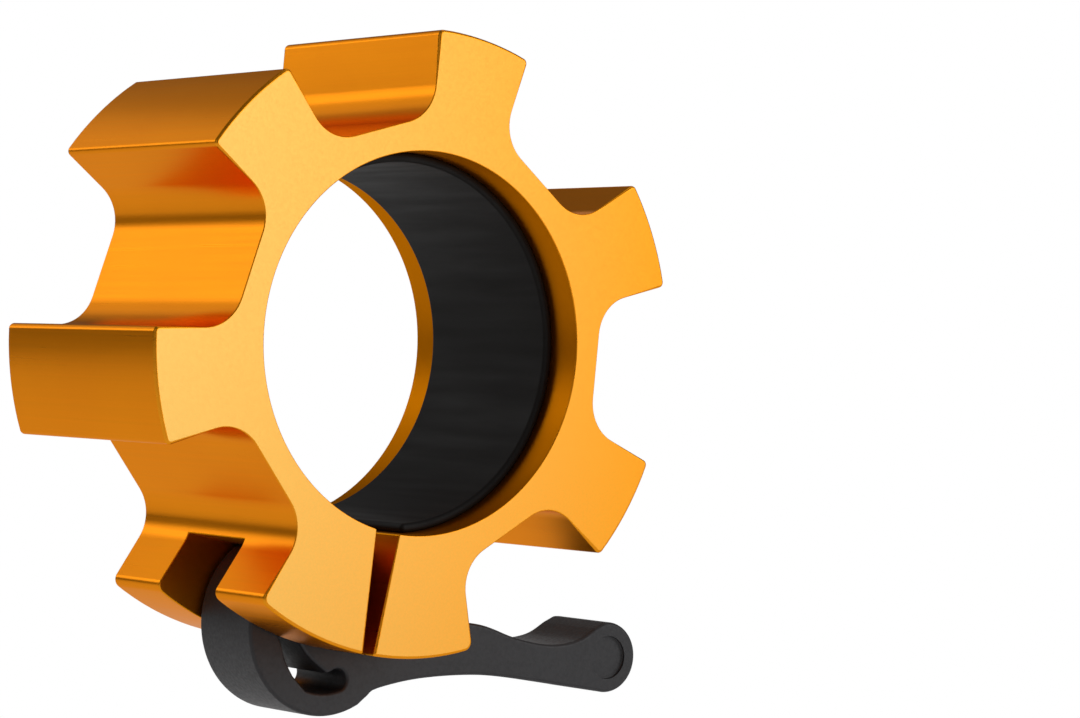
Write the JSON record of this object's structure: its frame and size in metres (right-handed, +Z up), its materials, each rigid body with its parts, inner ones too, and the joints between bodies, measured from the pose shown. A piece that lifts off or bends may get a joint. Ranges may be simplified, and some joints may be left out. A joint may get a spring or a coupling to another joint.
{
  "type": "barbell collar",
  "caption": "Split aluminium clamping ring with gear-like lobes, a rubber-lined bore and a plastic quick-release lever, for a barbell sleeve.",
  "frame": {"origin": "centre of the bore, at half of the ring's length", "axes": "+Y along the bar from the front face to the back face, +Z up through the single top lobe, +X towards the lever's knob; the split and the ears point down"},
  "size_m": [0.1004, 0.039, 0.0962],
  "materials": {
    "anodised_aluminium": "bead-blasted and anodised gold-orange, satin",
    "rubber": "smooth moulded, matte",
    "nylon": "fine-grained moulded glass-filled nylon, matte",
    "steel": "plain ground"
  },
  "bodies": {
    "collar": {"collar_body": "anodised_aluminium", "grip_liner": "rubber", "spring_arm": "nylon", "pivot_pin": "steel", "anchor_pin": "steel"},
    "lever": {"lever": "nylon"}
  },
  "joints": [
    {"name": "lever_hinge", "type": "hinge", "parent": "collar", "child": "lever", "pos_m": [-0.0037, 0, -0.037], "axis": [0, 1, 0], "range_deg": [0, 35], "deforming": ["spring_arm"]}
  ]
}
